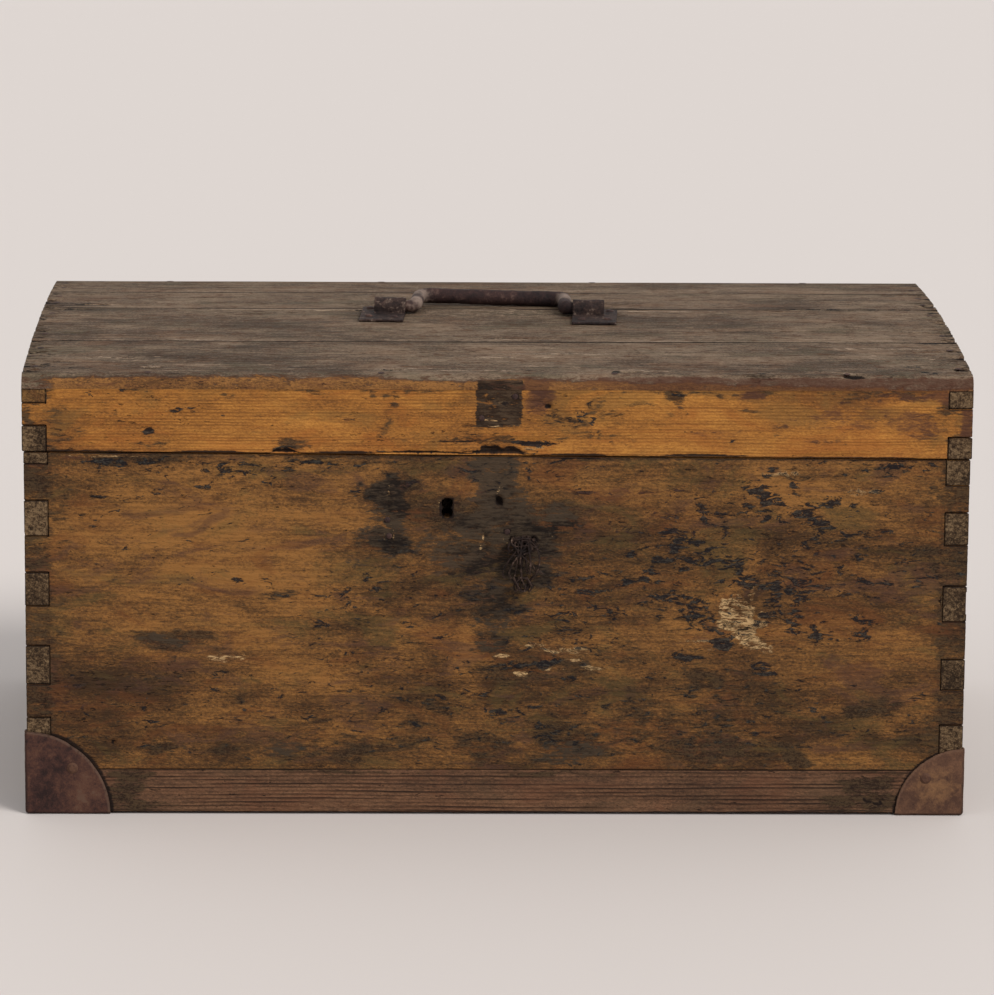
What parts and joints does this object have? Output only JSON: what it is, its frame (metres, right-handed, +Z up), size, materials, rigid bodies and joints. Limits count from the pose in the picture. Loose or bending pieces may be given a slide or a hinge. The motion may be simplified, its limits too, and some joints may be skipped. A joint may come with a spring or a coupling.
{
  "type": "metal-bound chest",
  "caption": "Low rectangular dovetailed pine chest with a crowned plank lid on back hinges, iron corner caps, a bail handle on the lid and a keyhole.",
  "frame": {"origin": "middle of the chest's bounding box, at floor level under the corner caps", "axes": "+X to the right along the length, -Y out of the front with the keyhole, +Z up"},
  "size_m": [0.7056, 0.4382, 0.3548],
  "materials": {
    "front_pine": "old honey-brown pine, dry, worn and stained",
    "side_pine": "old brown pine, dry and worn",
    "top_pine": "weathered grey-brown pine",
    "inside_pine": "bare unweathered pine",
    "wrought_iron": "rusted forged iron, matt",
    "cap_iron": "brown rusted sheet iron, matt"
  },
  "bodies": {
    "chest_body": {"front_board": "front_pine", "front_lower_plank": "front_pine", "back_board_upper": "side_pine", "back_board_lower": "side_pine", "left_side_board": "side_pine", "right_side_board": "side_pine", "bottom_plank_front": "inside_pine", "bottom_plank_middle": "inside_pine", "bottom_plank_back": "inside_pine", "bottom_nails": "wrought_iron", "corner_cap_front_left": "cap_iron", "corner_cap_front_right": "cap_iron", "corner_cap_back_left": "cap_iron", "corner_cap_back_right": "cap_iron", "corner_cap_nails": "wrought_iron", "hinge_left_body_leaf": "wrought_iron", "hinge_right_body_leaf": "wrought_iron", "hinge_left_pin": "wrought_iron", "hinge_right_pin": "wrought_iron", "hinge_body_nails": "wrought_iron", "lock_case": "wrought_iron", "lock_spring": "wrought_iron", "lock_nails": "wrought_iron", "hasp_staple": "wrought_iron", "old_hasp_nails": "wrought_iron"},
    "lid": {"lid_front_board": "front_pine", "lid_back_board": "side_pine", "lid_left_end": "side_pine", "lid_right_end": "side_pine", "lid_top_plank_1": "top_pine", "lid_top_plank_2": "top_pine", "lid_top_plank_3": "top_pine", "lid_top_plank_4": "top_pine", "lid_top_nails": "wrought_iron", "handle_plate_left": "wrought_iron", "handle_plate_right": "wrought_iron", "handle_nails": "wrought_iron", "hinge_left_lid_leaf": "wrought_iron", "hinge_right_lid_leaf": "wrought_iron", "hinge_lid_nails": "wrought_iron", "lock_strike": "wrought_iron", "lock_strike_nails": "wrought_iron", "old_hasp_lid_nails": "wrought_iron"},
    "handle_bail": {"handle_bail": "wrought_iron"},
    "lock_bolt": {"lock_bolt": "wrought_iron"},
    "wire_loop": {"wire_loop": "wrought_iron"}
  },
  "joints": [
    {"name": "lid_hinge", "type": "hinge", "parent": "chest_body", "child": "lid", "pos_m": [0, 0.21465, 0.2745], "axis": [-1, 0, 0], "range_deg": [0, 105]},
    {"name": "bail_hinge", "type": "hinge", "parent": "lid", "child": "handle_bail", "pos_m": [-0.002, 0.00975, 0.3477], "axis": [0.9981, -0.061, 0], "range_deg": [0, 170]},
    {"name": "bolt_slide", "type": "slide", "parent": "chest_body", "child": "lock_bolt", "axis": [1, 0, 0], "range_m": [0, 0.012]},
    {"name": "wire_swing", "type": "hinge", "parent": "chest_body", "child": "wire_loop", "pos_m": [0.0196, -0.21525, 0.2115], "axis": [-1, 0, 0], "range_deg": [0, 80]}
  ]
}
